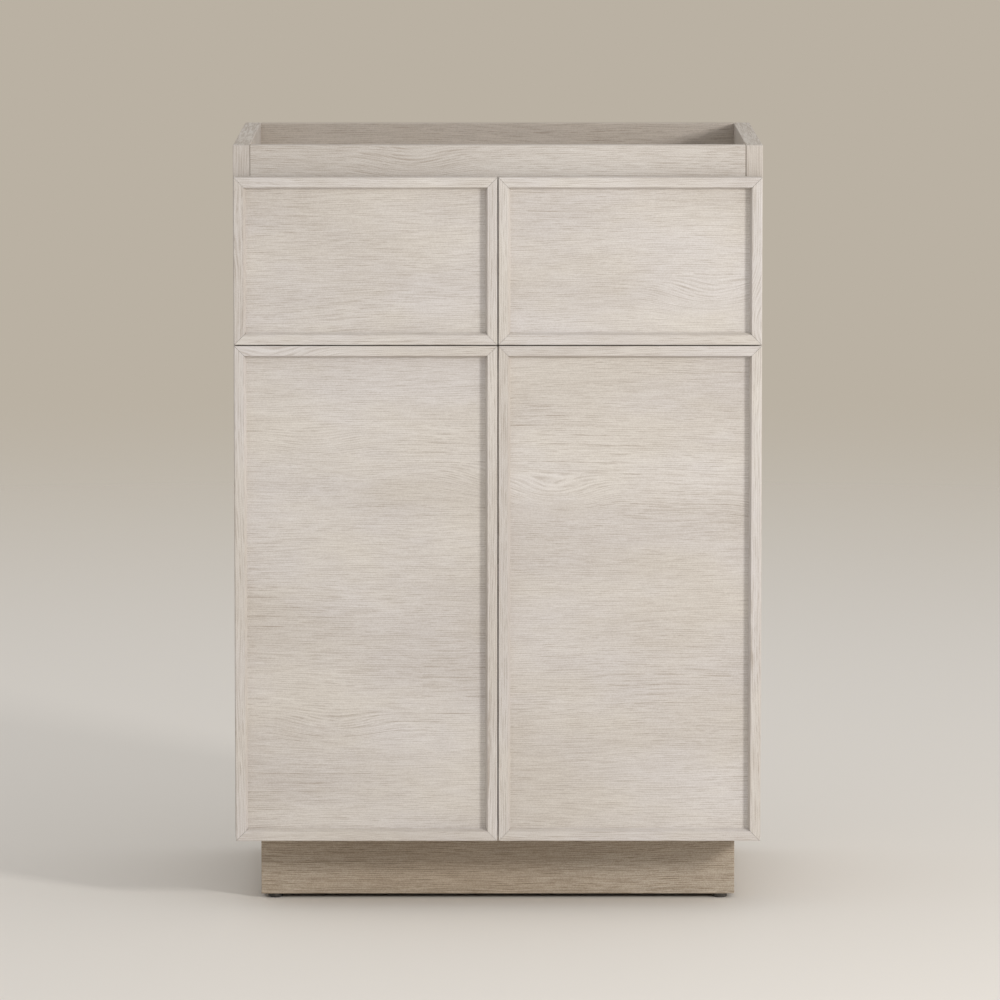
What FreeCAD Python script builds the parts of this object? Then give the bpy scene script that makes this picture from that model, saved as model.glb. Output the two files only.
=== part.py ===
import FreeCAD, Part
import math
import os

# Vanity unit: a free-standing bathroom cabinet without its countertop.
# Millimetres. X runs to the right, Y to the back and Z up.
# The origin is on the floor, under the middle of the whole unit.

# Overall size
unit_width = 600.0
unit_depth = 460.0
unit_height = 870.0

# Boards of the carcass
side_board = 19.0
bottom_board = 19.0
apron_board = 19.0
apron_height = 80.0
rail_board = 19.0
rail_depth = 60.0
cross_board = 16.0
cross_height = 60.0
partition_board = 16.0
back_board = 15.0
back_top_height = 150.0
back_opening_height = 120.0
dado_depth = 6.0
arris = 0.6
overrun = 2.0

# Plinth and floor glides
plinth_board = 19.0
plinth_side_inset = 28.0
plinth_front_inset = 75.0
plinth_back_inset = 20.0
plinth_height = 73.0
glue_block = 36.0
glue_block_margin = 8.0
glide_radius = 8.0
glide_height = 5.0
glide_inset = 16.0
glide_dome = 1.2
nail_radius = 1.6
nail_length = 22.0
nail_clearance = 0.3

# Fronts: a board with a mitred frame laid on its face
front_board = 15.0
frame_rise = 8.5
frame_face = 11.0
frame_bevel = 2.5
mitre_gap = 0.24
front_gap = 1.3
side_reveal = 1.5
carcass_gap = 3.0
front_top_drop = 35.0
drawer_front_height = 189.5

# Shelf and its pins
shelf_board = 16.0
shelf_depth = 250.0
shelf_setback = 24.0
shelf_level = 352.0
shelf_end_gap = 1.0
pin_radius = 2.5
pin_hole_clearance = 0.3
pin_hole_depth = 11.0
pin_nose = 9.0
pin_collar = 1.5
pin_collar_radius = 4.0
pin_pitch = 32.0
pin_rows = 5
pin_front_setback = 61.0
pin_span = 160.0

# Cup hinges
hinge_from_end = 100.0
cup_radius = 17.2
cup_clearance = 0.3
cup_edge = 3.0
cup_depth = 12.9
cup_floor_clearance = 0.3
cup_wall = 0.6
cup_flange = 1.2
cup_flange_height = 62.0
cup_flange_back = 11.0
cup_rim = 1.2
pivot_from_edge = 7.0
pivot_depth = 9.5
pivot_radius = 1.2
pivot_play = 0.3
knuckle_wall = 0.9
knuckle_length = 7.0
arm_thickness = 2.0
arm_length = 62.0
arm_side_wall = 1.5
arm_side_play = 0.3
clamp_setback = 50.0
clamp_screw_length = 6.3
plate_thickness = 2.2
plate_rail_rise = 5.0
plate_setback = 37.0
plate_length = 46.0
plate_rail_height = 12.4
plate_wing = 48.0
plate_wing_width = 14.0
plate_screw_spacing = 32.0
cup_screw_spacing = 45.0
cup_screw_offset = 9.5

# Screws
screw_radius = 1.7
screw_head_radius = 3.4
screw_head_height = 1.8
screw_length = 11.0
screw_clearance = 0.3
long_screw_length = 20.0

# Drawer boxes
box_board = 12.0
box_height = 80.0
box_length = 206.0
box_lift = 10.0
box_bottom_board = 5.0
box_groove_depth = 6.0
box_groove_up = 10.0
box_groove_clearance = 0.3
box_screw_inset = 40.0
box_screw_shares = (0.4, 0.8)

# Telescopic slides
slide_width = 12.7
slide_height = 35.0
slide_wall = 1.2
slide_play = 0.4
slide_length = 200.0
slide_flange = 9.2
slide_centre_up = 40.0
slide_front_setback = 3.0
slide_stop = 3.0
slide_screw_shares = (0.2, 0.8)

# Push latches of the doors
latch_width = 14.0
latch_height = 13.0
latch_length = 58.0
latch_from_centre = 30.0
latch_bore_clearance = 0.3
plunger_radius = 4.0
plunger_length = 48.0
latch_setback = 2.0
strike_radius = 8.0
strike_thickness = 1.0
strike_clearance = 0.3
latch_ear = 12.0
latch_ear_reach = 13.0
latch_end_wall = 3.0
strike_pin_length = 8.0
latch_ear_thickness = 3.0

# Cam nuts of the rails
cam_radius = 7.5
cam_depth = 11.0
cam_clearance = 0.3
cam_inset = 34.0
cam_slot = 1.6
cam_slot_depth = 2.0

# Corner braces, wall holes and bumpers
brace_leg = 60.0
brace_height = 19.0
brace_drop = 12.0
brace_hole_radius = 2.5
wall_hole_radius = 3.0
wall_hole_spacing = 400.0
wall_hole_drop = 75.0
bumper_radius = 3.5
bumper_height = 2.7
bumper_from_middle = 60.0

# Places worked out from the sizes above
half_width = unit_width / 2
face_y = -unit_depth / 2
back_y = unit_depth / 2
front_thickness = front_board + frame_rise
front_back_y = face_y + front_thickness
carcass_y = front_back_y + carcass_gap
frame_base = frame_face + frame_bevel
plinth_base = glide_height
carcass_base = plinth_base + plinth_height
bottom_top = carcass_base + bottom_board
back_top_base = unit_height - back_top_height
back_bottom_top = back_top_base - back_opening_height
front_top = unit_height - front_top_drop
drawer_front_base = front_top - drawer_front_height
door_base = carcass_base
door_top = drawer_front_base - front_gap
gap_centre = drawer_front_base - front_gap / 2
rail_base = gap_centre - rail_board / 2
rail_top = rail_base + rail_board
apron_base = unit_height - apron_height
inner_x = half_width - side_board
front_outer_x = half_width - side_reveal
front_inner_x = front_gap / 2
rail_back_y = carcass_y + rail_depth
box_front_y = front_back_y
box_back_y = box_front_y + box_length
box_base = rail_top + box_lift
box_top = box_base + box_height
slide_centre_z = box_base + slide_centre_up
cross_y = box_back_y + slide_stop
partition_x = partition_board / 2
hinge_heights = (door_base + hinge_from_end, door_top - hinge_from_end)
pivot_x = front_outer_x - pivot_from_edge
pivot_y = front_back_y - pivot_depth
cup_x = front_outer_x - cup_edge - cup_radius - cup_clearance
plinth_x = half_width - plinth_side_inset
plinth_y = face_y + plinth_front_inset
plinth_rear_y = back_y - plinth_back_inset
clamp_y = carcass_y + clamp_setback
arm_x = inner_x - plate_rail_rise - arm_thickness
latch_screw_y = carcass_y + latch_setback + latch_length / 2


def vector(x, y, z):
    return FreeCAD.Vector(x, y, z)


def block(x0, x1, y0, y1, z0, z1):
    """A square-edged board between two opposite corners."""
    corner = vector(min(x0, x1), min(y0, y1), min(z0, z1))
    return Part.makeBox(abs(x1 - x0), abs(y1 - y0), abs(z1 - z0), corner)


def rod(radius, length, x, y, z, axis):
    """A round bar that starts at a point and runs along an axis."""
    return Part.makeCylinder(radius, length, vector(x, y, z), axis)


def many_sided(radius, length, x, y, z, axis, sides):
    """A small round bar or hole drawn with flat sides."""
    points = []
    for step in range(sides):
        angle = 2 * math.pi * step / sides
        points.append(vector(radius * math.cos(angle), radius * math.sin(angle), 0))
    bar = prism(points, upward * length)
    bar.Placement = FreeCAD.Placement(vector(x, y, z), FreeCAD.Rotation(upward, axis))
    return bar


def prism(points, depth_vector):
    """A solid with straight sides from a closed outline."""
    wire = Part.makePolygon(points + points[:1])
    return Part.Face(wire).extrude(depth_vector)


def eased(shape, keep):
    """The shape with a fine arris on the edges that keep() picks."""
    edges = [edge for edge in shape.Edges if keep(edge)]
    return shape.makeChamfer(arris, edges)


def mirrored(shape):
    """The same piece on the other side of the unit."""
    return shape.mirror(vector(0, 0, 0), vector(1, 0, 0))


def on_plane(edge, axis, value):
    """True for an edge that lies in the plane axis = value."""
    return all(math.isclose(getattr(vertex.Point, axis), value, abs_tol=1e-6) for vertex in edge.Vertexes)


def save(name, shapes):
    """Writes one node: a single piece or a group of like pieces."""
    solids = [solid for shape in shapes for solid in shape.Solids]
    whole = solids[0] if len(solids) == 1 else Part.makeCompound(solids)
    whole.exportStep(os.path.join("parts", name + ".step"))
    print(name, len(solids), "solids, valid", all(solid.isValid() for solid in solids))


screw_sides = 6
screw_head_sides = 10
pin_sides = 10
cam_sides = 16
cup_sides = 30
right = vector(1, 0, 0)
rearward = vector(0, 1, 0)
upward = vector(0, 0, 1)
os.makedirs("parts", exist_ok=True)


# Screws

def screw(x, y, z, axis, length):
    """A pan-head screw whose head lies on the surface at a point; axis points into the wood."""
    head_start = vector(x, y, z) - axis * screw_head_height
    head = many_sided(screw_head_radius, screw_head_height, *head_start, axis, screw_head_sides)
    return head.fuse(many_sided(screw_radius, length, x, y, z, axis, screw_sides)).removeSplitter()


def screw_hole(x, y, z, axis, length):
    """The clear hole around a screw, with a little room past its point."""
    start = vector(x, y, z) - axis * screw_clearance
    return many_sided(screw_radius + screw_clearance, length + screw_clearance * 2, *start, axis, screw_sides)


# Side panels: housed for the bottom panel, drilled for shelf pins, hinge plates and slides

def side_panel():
    """The right side panel; its front, top and outer edges are eased."""
    panel = block(inner_x, half_width, carcass_y, back_y, carcass_base, unit_height)
    panel = eased(panel, lambda edge: on_plane(edge, "y", carcass_y) or on_plane(edge, "x", half_width)
                  or on_plane(edge, "z", unit_height))
    housing = block(inner_x - overrun, inner_x + dado_depth, carcass_y + arris, back_y - back_board,
                    carcass_base - overrun, bottom_top)
    panel = panel.cut(housing)
    holes = []
    for x, y, z in pin_places():
        holes.append(many_sided(pin_radius + pin_hole_clearance, pin_hole_depth + overrun, x - overrun, y, z,
                                right, pin_sides))
    for x, y, z in plate_screw_places():
        holes.append(screw_hole(x, y, z, right, screw_length))
    for y in slide_screw_ys():
        holes.append(screw_hole(inner_x - slide_wall, y, slide_centre_z, right, screw_length))
    return panel.cut(Part.makeCompound(holes))


def pin_places():
    """Mouths of the shelf-pin holes in the right side panel."""
    front = carcass_y + pin_front_setback
    middle = shelf_level - shelf_board / 2 - pin_radius
    lowest = middle - pin_pitch * (pin_rows - 1) / 2
    return [(inner_x, front + span, lowest + pin_pitch * row)
            for span in (0, pin_span) for row in range(pin_rows)]


def plate_screw_places():
    """Screw centres of the right-hand hinge plates, on the plates' faces."""
    y = carcass_y + plate_setback
    x = inner_x - plate_thickness
    return [(x, y, height + side * plate_screw_spacing / 2) for height in hinge_heights for side in (-1, 1)]


def slide_screw_ys():
    """Screws of a cabinet slide member, on the slide's centre line."""
    start = carcass_y + slide_front_setback
    return [start + slide_length * share for share in slide_screw_shares]


right_side = side_panel()
save("side_panel_right", [right_side])
save("side_panel_left", [mirrored(right_side)])


# Bottom panel: sits in the housings of both sides, on top of the plinth

bottom = block(-inner_x - dado_depth, inner_x + dado_depth, carcass_y + arris, back_y - back_board,
               carcass_base, bottom_top)
nosing = block(-inner_x, inner_x, carcass_y, carcass_y + arris, carcass_base, bottom_top)
save("bottom_panel", [bottom.fuse(nosing).removeSplitter()])


# Cam fittings: round steel nuts let into the rails near their ends

def cam_places(z, y, axis, inset, spacing):
    """Centres of the cam nuts of one rail, at both of its ends."""
    rows = (0,) if spacing == 0 else (-spacing / 2, spacing / 2)
    return [(side * (inner_x - inset), y, z + row, axis) for side in (-1, 1) for row in rows]


def cam_pocket(place):
    x, y, z, axis = place
    start = vector(x, y, z) - axis * overrun
    return many_sided(cam_radius + cam_clearance, cam_depth + overrun, *start, axis, cam_sides)


def cam_nut(place):
    """A disc flush with the board, resting on the floor of its pocket, with a driver slot."""
    x, y, z, axis = place
    nut = many_sided(cam_radius, cam_depth, 0, 0, 0, upward, cam_sides)
    slot = block(-cam_radius - overrun, cam_radius + overrun, -cam_slot / 2, cam_slot / 2, -overrun,
                 cam_slot_depth)
    nut = nut.cut(slot)
    nut.Placement = FreeCAD.Placement(vector(x, y, z), FreeCAD.Rotation(upward, axis))
    return nut


forward = -rearward
downward = -upward
apron_cams = cam_places(apron_base + apron_height / 2, carcass_y + apron_board, forward, cam_inset, 0)
rail_cams = cam_places(rail_base, carcass_y + rail_depth / 2, upward, cam_inset, 0)
cross_cams = cam_places(rail_top - cross_height / 2, cross_y + cross_board, forward, cam_inset, 0)
back_top_cams = cam_places((back_top_base + unit_height) / 2, back_y - back_board, rearward, cam_inset,
                           back_top_height / 2)
back_bottom_cams = cam_places((bottom_top + back_bottom_top) / 2, back_y - back_board, rearward, cam_inset,
                              (back_bottom_top - bottom_top) / 2)
all_cams = apron_cams + rail_cams + cross_cams + back_top_cams + back_bottom_cams
save("cam_nuts", [cam_nut(place) for place in all_cams])


# Rails between the sides

def rail(y0, y1, z0, z1, cams, keep):
    """A board between the side panels with pockets for its cam nuts."""
    board = block(-inner_x, inner_x, y0, y1, z0, z1)
    board = eased(board, keep)
    return board.cut(Part.makeCompound([cam_pocket(place) for place in cams]))


apron = rail(carcass_y, carcass_y + apron_board, apron_base, unit_height, apron_cams,
             lambda edge: on_plane(edge, "y", carcass_y) or on_plane(edge, "z", unit_height))
save("front_apron", [apron])

middle = rail(carcass_y, rail_back_y, rail_base, rail_top, rail_cams,
              lambda edge: on_plane(edge, "y", carcass_y))
latch_screw_places = [(side * latch_from_centre + ear * latch_ear_reach, latch_screw_y, rail_base)
                      for side in (-1, 1) for ear in (-1, 1)]
middle = middle.cut(Part.makeCompound([screw_hole(x, y, z - latch_ear_thickness, upward, screw_length)
                                       for x, y, z in latch_screw_places]))
save("middle_rail", [middle])

cross = rail(cross_y, cross_y + cross_board, rail_top - cross_height, rail_top, cross_cams,
             lambda edge: on_plane(edge, "z", rail_top - cross_height))
save("drawer_cross_rail", [cross])

back_top = rail(back_y - back_board, back_y, back_top_base, unit_height, back_top_cams,
                lambda edge: on_plane(edge, "z", unit_height))
wall_holes = [rod(wall_hole_radius, back_board + overrun * 2, side * wall_hole_spacing / 2,
                  back_y - back_board - overrun, unit_height - wall_hole_drop, rearward) for side in (-1, 1)]
save("back_top_panel", [back_top.cut(Part.makeCompound(wall_holes))])

back_bottom = rail(back_y - back_board, back_y, carcass_base, back_bottom_top, back_bottom_cams,
                   lambda edge: on_plane(edge, "z", back_bottom_top))
save("back_bottom_panel", [back_bottom])


# Centre partition: stands on the middle rail and the cross rail and carries the inner slides

partition = block(-partition_x, partition_x, carcass_y, cross_y + cross_board, rail_top, apron_base)
partition = eased(partition, lambda edge: on_plane(edge, "y", carcass_y))
save("centre_partition", [partition])


# Plinth: four boards with a triangular glue block in each corner

plinth_top = carcass_base
plinth_inner_y = plinth_y + plinth_board
plinth_inner_rear_y = plinth_rear_y - plinth_board
glide_places = [(side * (plinth_x - glide_inset), y) for side in (-1, 1)
                for y in (plinth_y + plinth_board / 2, plinth_rear_y - plinth_board / 2)]
nail_hole_depth = nail_length + nail_clearance
nail_holes = Part.makeCompound([many_sided(nail_radius + nail_clearance, nail_hole_depth + overrun, x, y,
                                           plinth_base - overrun, upward, screw_sides)
                                for x, y in glide_places])


def plinth_long_board(y0, y1, show_y):
    board = block(-plinth_x, plinth_x, y0, y1, plinth_base, plinth_top)
    board = eased(board, lambda edge: on_plane(edge, "y", show_y) and not on_plane(edge, "z", plinth_top))
    return board.cut(nail_holes)


save("plinth_front", [plinth_long_board(plinth_y, plinth_inner_y, plinth_y)])
save("plinth_back", [plinth_long_board(plinth_inner_rear_y, plinth_rear_y, plinth_rear_y)])
plinth_side = block(plinth_x - plinth_board, plinth_x, plinth_inner_y, plinth_inner_rear_y, plinth_base,
                    plinth_top)
save("plinth_sides", [plinth_side, mirrored(plinth_side)])


def corner_prism(corner_x, corner_y, leg_x, leg_y, z0, z1):
    """A triangular block with its square corner in a corner of boards."""
    outline = [vector(corner_x, corner_y, z0), vector(corner_x + leg_x, corner_y, z0),
               vector(corner_x, corner_y + leg_y, z0)]
    return prism(outline, upward * (z1 - z0))


glue_blocks = []
for side in (-1, 1):
    for y, leg in ((plinth_inner_y, glue_block), (plinth_inner_rear_y, -glue_block)):
        glue_blocks.append(corner_prism(side * (plinth_x - plinth_board), y, -side * glue_block, leg,
                                        plinth_base + glue_block_margin, plinth_top))
save("plinth_glue_blocks", glue_blocks)


# Floor glides: domed pads on nails driven up into the plinth

def glide(x, y):
    """A pad with a broken lower edge, and its nail."""
    pad = many_sided(glide_radius, glide_height, 0, 0, 0, upward, cam_sides)
    pad = pad.makeChamfer(glide_dome, [edge for edge in pad.Edges if on_plane(edge, "z", 0)])
    nail = many_sided(nail_radius, nail_length, 0, 0, glide_height, upward, screw_sides)
    return pad.fuse(nail).removeSplitter().translated(vector(x, y, 0))


save("floor_glides", [glide(x, y) for x, y in glide_places])


# Corner braces under the front of the rim, drilled for a screw into a countertop

braces = []
for side in (-1, 1):
    top = unit_height - brace_drop
    brace = corner_prism(side * inner_x, carcass_y + apron_board, -side * brace_leg, brace_leg,
                         top - brace_height, top)
    third = brace_leg / 3
    hole = rod(brace_hole_radius, brace_height + overrun * 2, side * (inner_x - third),
               carcass_y + apron_board + third, top - brace_height - overrun, upward)
    braces.append(brace.cut(hole))
save("corner_braces", braces)


# Shelf and shelf pins

shelf_base = shelf_level - shelf_board / 2
shelf = block(-inner_x + shelf_end_gap, inner_x - shelf_end_gap, carcass_y + shelf_setback,
              carcass_y + shelf_setback + shelf_depth, shelf_base, shelf_base + shelf_board)
shelf = eased(shelf, lambda edge: on_plane(edge, "y", carcass_y + shelf_setback))
save("shelf", [shelf])


def shelf_pin(y):
    """A pin in the right side panel; the shelf rests on its nose."""
    z = shelf_base - pin_radius
    tail = many_sided(pin_radius, pin_hole_depth - pin_hole_clearance + pin_nose, inner_x - pin_nose, y, z,
                      right, pin_sides)
    collar = many_sided(pin_radius + pin_collar, pin_collar, inner_x - pin_collar, y, z, right, pin_sides)
    under_shelf = block(inner_x - pin_collar, inner_x, y - pin_collar_radius * 2, y + pin_collar_radius * 2,
                        shelf_base, shelf_base + pin_collar_radius)
    return tail.fuse(collar).cut(under_shelf).removeSplitter()


pins = [shelf_pin(carcass_y + pin_front_setback + span) for span in (0, pin_span)]
save("shelf_pins", pins + [mirrored(pin) for pin in pins])


# Fronts: each is a board with a mitred, bevelled frame glued to its face

def moulding(along, length, start, inward):
    """A frame strip of full length; inward points from its outer edge to the middle of the front."""
    outline = [
        start + rearward * frame_rise,
        start + rearward * arris,
        start + inward * arris,
        start + inward * frame_face,
        start + inward * frame_base + rearward * frame_rise,
    ]
    return prism(outline, along * length)


def mitred(strip, start, along, inward, length):
    """Cuts both ends of a strip at 45 degrees, short by half the mitre's joint line."""
    joint = mitre_gap / math.sqrt(2)
    reach = frame_base + overrun
    outline = [
        start + along * joint,
        start + along * (length - joint),
        start + along * (length - joint - reach) + inward * reach,
        start + along * (joint + reach) + inward * reach,
    ]
    outline = [point - rearward * overrun for point in outline]
    return strip.common(prism(outline, rearward * (frame_rise + overrun * 2)))


def front(x0, x1, z0, z1):
    """Board, stiles and rails of one front."""
    board = block(x0, x1, face_y + frame_rise, front_back_y, z0, z1)
    board = eased(board, lambda edge: on_plane(edge, "y", front_back_y))
    strips = []
    for start, along, inward, length in (
        (vector(x0, face_y, z0), upward, right, z1 - z0),
        (vector(x1, face_y, z0), upward, -right, z1 - z0),
        (vector(x0, face_y, z0), right, upward, x1 - x0),
        (vector(x0, face_y, z1), right, downward, x1 - x0),
    ):
        strips.append(mitred(moulding(along, length, start, inward), start, along, inward, length))
    return board, strips[:2], strips[2:]


def save_front(name, board, stiles, rails):
    """Writes the right-hand front and its mirror image on the left."""
    for hand, flip in (("right", False), ("left", True)):
        pieces = [[board], stiles, rails]
        if flip:
            pieces = [[mirrored(piece) for piece in group] for group in pieces]
        for part_name, group in zip(("panel", "stiles", "rails"), pieces):
            save(hand + "_" + name + "_" + part_name, group)


def save_pair(name, shapes):
    """Writes the right-hand pieces and their mirror images on the left."""
    save("right_" + name, shapes)
    save("left_" + name, [mirrored(shape) for shape in shapes])


door_board, door_stiles, door_rails = front(front_inner_x, front_outer_x, door_base, door_top)
cup_holes = [many_sided(cup_radius + cup_clearance, cup_depth + cup_floor_clearance + overrun, cup_x,
                        front_back_y + overrun, height, forward, cup_sides) for height in hinge_heights]
cup_screw_places = [(cup_x - cup_screw_offset, front_back_y + cup_flange,
                     height + side * cup_screw_spacing / 2)
                    for height in hinge_heights for side in (-1, 1)]
cup_screw_holes = [screw_hole(x, y, z, forward, screw_length) for x, y, z in cup_screw_places]
strike_z = rail_base - latch_height / 2
strike_hole = screw_hole(latch_from_centre, front_back_y, strike_z, forward, strike_pin_length)
door_board = door_board.cut(Part.makeCompound(cup_holes + cup_screw_holes + [strike_hole]))
save_front("door", door_board, door_stiles, door_rails)


# Cup hinges: cup with its pin on the door, arm and plate on the side panel

def hinge_cup(height):
    """A drawn steel cup with a flange, and a pin staked across it."""
    y = front_back_y
    cup = many_sided(cup_radius, cup_depth, cup_x, y, height, forward, cup_sides)
    flange = many_sided(cup_radius + cup_rim, cup_flange, cup_x, y, height, rearward, cup_sides)
    wing_x = cup_x - cup_screw_offset
    wing = block(wing_x - cup_flange_back / 2, wing_x + cup_flange_back / 2, y, y + cup_flange,
                 height - cup_flange_height / 2, height + cup_flange_height / 2)
    corners = [edge for edge in wing.Edges if not math.isclose(edge.Vertexes[0].Y, edge.Vertexes[-1].Y)]
    wing = wing.makeChamfer(cup_flange_back / 4, corners)
    hollow = many_sided(cup_radius - cup_wall, cup_depth - cup_wall + cup_flange + overrun, cup_x,
                        y + cup_flange + overrun, height, forward, cup_sides)
    body = cup.fuse([flange, wing]).cut(hollow)
    pin = rod(pivot_radius, cup_radius * 2, pivot_x, pivot_y, height - cup_radius, upward).common(cup)
    shape = body.fuse(pin).removeSplitter()
    for side in (-1, 1):
        shape = shape.cut(screw_hole(wing_x, y + cup_flange, height + side * cup_screw_spacing / 2, forward,
                                     screw_length))
    return shape


def hinge_arm(height):
    """A bent arm from the knuckle on the pin, out of the cup and back astride its plate's rail."""
    knuckle_radius = pivot_radius + pivot_play + knuckle_wall
    outer_x = arm_x + arm_thickness
    end_y = carcass_y + arm_length
    half_knuckle = knuckle_length / 2
    half_channel = plate_rail_height / 2 + arm_side_play
    flange_x = inner_x - plate_thickness - arm_side_play
    half_arm = half_channel + arm_side_wall
    knuckle = rod(knuckle_radius, knuckle_length, pivot_x, pivot_y, height - half_knuckle, upward)
    neck = block(arm_x, pivot_x, pivot_y - arm_thickness / 2, pivot_y + arm_thickness / 2,
                 height - half_knuckle, height + half_knuckle)
    throat = block(arm_x, outer_x, pivot_y - arm_thickness / 2, carcass_y, height - half_knuckle,
                   height + half_knuckle)
    strap = block(arm_x, outer_x, carcass_y - carcass_gap / 2, end_y, height - half_arm, height + half_arm)
    arm = knuckle.fuse([neck, throat, strap])
    for side in (-1, 1):
        flange = block(outer_x, flange_x, carcass_y + carcass_gap, end_y,
                       height + side * half_channel, height + side * half_arm)
        arm = arm.fuse(flange)
    bore = rod(pivot_radius + pivot_play, knuckle_length + overrun * 2, pivot_x, pivot_y,
               height - half_knuckle - overrun, upward)
    clamp = screw_hole(arm_x, clamp_y, height, right, clamp_screw_length)
    return arm.cut(bore).cut(clamp).removeSplitter()


def hinge_plate(height):
    """A cross-shaped mounting plate with a raised rail, screwed to the side panel."""
    y = carcass_y + plate_setback
    x = inner_x - plate_thickness
    half_rail = plate_rail_height / 2
    bar = block(inner_x - plate_rail_rise, inner_x, y - plate_length / 2, y + plate_length / 2,
                height - half_rail, height + half_rail)
    wing = block(x, inner_x, y - plate_wing_width / 2, y + plate_wing_width / 2, height - plate_wing / 2,
                 height + plate_wing / 2)
    plate = bar.fuse(wing).removeSplitter()
    for side in (-1, 1):
        plate = plate.cut(screw_hole(x, y, height + side * plate_screw_spacing / 2, right, screw_length))
    return plate.cut(screw_hole(arm_x, clamp_y, height, right, clamp_screw_length))


save_pair("door_hinge_cups", [hinge_cup(height) for height in hinge_heights])
save_pair("door_cup_screws", [screw(x, y, z, forward, screw_length) for x, y, z in cup_screw_places])
arms = [hinge_arm(height) for height in hinge_heights]
plates = [hinge_plate(height) for height in hinge_heights]
save("hinge_arms", arms + [mirrored(arm) for arm in arms])
save("hinge_plates", plates + [mirrored(plate) for plate in plates])
plate_screws = [screw(x, y, z, right, screw_length) for x, y, z in plate_screw_places()]
plate_screws += [screw(arm_x, clamp_y, height, right, clamp_screw_length) for height in hinge_heights]
save("hinge_plate_screws", plate_screws + [mirrored(one) for one in plate_screws])


# Push latches: a sprung plunger in a housing under the middle rail, and a strike on the door

latch_y = carcass_y + latch_setback
housing = block(latch_from_centre - latch_width / 2, latch_from_centre + latch_width / 2, latch_y,
                latch_y + latch_length, rail_base - latch_height, rail_base)
ears = block(latch_from_centre - latch_ear_reach - screw_head_radius,
             latch_from_centre + latch_ear_reach + screw_head_radius,
             latch_screw_y - latch_ear / 2, latch_screw_y + latch_ear / 2, rail_base - latch_ear_thickness,
             rail_base)
housing = housing.fuse(ears).removeSplitter()
bore = rod(plunger_radius + latch_bore_clearance, latch_length - latch_end_wall + overrun, latch_from_centre,
           latch_y - overrun, strike_z, rearward)
ear_holes = [screw_hole(x, y, z - latch_ear_thickness, upward, screw_length)
             for x, y, z in latch_screw_places]
housing = housing.cut(Part.makeCompound([bore] + ear_holes))
save("latch_housings", [housing, mirrored(housing)])
save("latch_screws", [screw(x, y, z - latch_ear_thickness, upward, screw_length)
                      for x, y, z in latch_screw_places])

plunger_y = front_back_y + strike_thickness + strike_clearance
plunger = rod(plunger_radius, plunger_length, latch_from_centre, plunger_y, strike_z, rearward)
plunger = plunger.makeChamfer(arris, [edge for edge in plunger.Edges if on_plane(edge, "y", plunger_y)])
save_pair("latch_plunger", [plunger])

strike = rod(strike_radius, strike_thickness, latch_from_centre, front_back_y, strike_z, rearward)
strike_pin = many_sided(screw_radius, strike_pin_length, latch_from_centre, front_back_y, strike_z, forward,
                        screw_sides)
save_pair("door_strike", [strike.fuse(strike_pin).removeSplitter()])


# Bumpers: soft pads on the front edges of the carcass

bumper_places = []
for side in (-1, 1):
    bumper_places.append((side * bumper_from_middle, (rail_base + door_top) / 2))
    bumper_places.append((side * bumper_from_middle, door_base + bottom_board / 2))
    bumper_places.append((side * bumper_from_middle, (apron_base + front_top) / 2))
    bumper_places.append((side * (inner_x - bumper_from_middle), (apron_base + front_top) / 2))
bumpers = [many_sided(bumper_radius, bumper_height, x, carcass_y, z, forward, pin_sides)
           for x, z in bumper_places]
save("bumpers", bumpers)


# Drawers: a framed front on an open box that runs on side-mounted slides

drawer_board, drawer_stiles, drawer_rails = front(front_inner_x, front_outer_x, drawer_front_base, front_top)
box_x0 = partition_x + slide_width
box_x1 = inner_x - slide_width
box_screw_places = [(x, box_front_y + box_board, box_base + box_height * share)
                    for x in (box_x0 + box_screw_inset, box_x1 - box_screw_inset)
                    for share in box_screw_shares]
box_screw_holes = Part.makeCompound([screw_hole(x, y, z, forward, long_screw_length)
                                     for x, y, z in box_screw_places])
save_front("drawer", drawer_board.cut(box_screw_holes), drawer_stiles, drawer_rails)

groove_base = box_base + box_groove_up
groove_top = groove_base + box_bottom_board + box_groove_clearance * 2
groove = block(box_x0 + box_board - box_groove_depth, box_x1 - box_board + box_groove_depth,
               box_front_y + box_board - box_groove_depth, box_back_y - box_board + box_groove_depth,
               groove_base, groove_top)
box_sides = [block(x, x + box_board, box_front_y, box_back_y, box_base, box_top)
             for x in (box_x0, box_x1 - box_board)]
box_sides = [eased(side, lambda edge: on_plane(edge, "z", box_top)).cut(groove) for side in box_sides]
box_ends = [block(box_x0 + box_board, box_x1 - box_board, y, y + box_board, box_base, box_top)
            for y in (box_front_y, box_back_y - box_board)]
box_ends = [end.cut(groove) for end in box_ends]
box_ends[0] = box_ends[0].cut(box_screw_holes)
box_bottom = block(groove.BoundBox.XMin + box_groove_clearance, groove.BoundBox.XMax - box_groove_clearance,
                   groove.BoundBox.YMin + box_groove_clearance, groove.BoundBox.YMax - box_groove_clearance,
                   groove_base, groove_base + box_bottom_board)
save_pair("drawer_box_sides", box_sides)
save_pair("drawer_box_ends", box_ends)
save_pair("drawer_box_bottom", [box_bottom])
save_pair("drawer_front_screws", [screw(x, y, z, forward, long_screw_length) for x, y, z in box_screw_places])


# Telescopic slides: three nested steel channels on each side of a drawer

def channel(web_x, tip_x, half_height):
    """A channel with its web at one side and two flanges that reach to the other."""
    toward = math.copysign(1, tip_x - web_x)
    web_inner = web_x + toward * slide_wall
    flange_inner = half_height - slide_wall
    points = [(web_x, -half_height), (tip_x, -half_height), (tip_x, -flange_inner),
              (web_inner, -flange_inner), (web_inner, flange_inner), (tip_x, flange_inner),
              (tip_x, half_height), (web_x, half_height)]
    y = carcass_y + slide_front_setback
    outline = [vector(x, y, slide_centre_z + z) for x, z in points]
    return prism(outline, rearward * slide_length)


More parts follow.
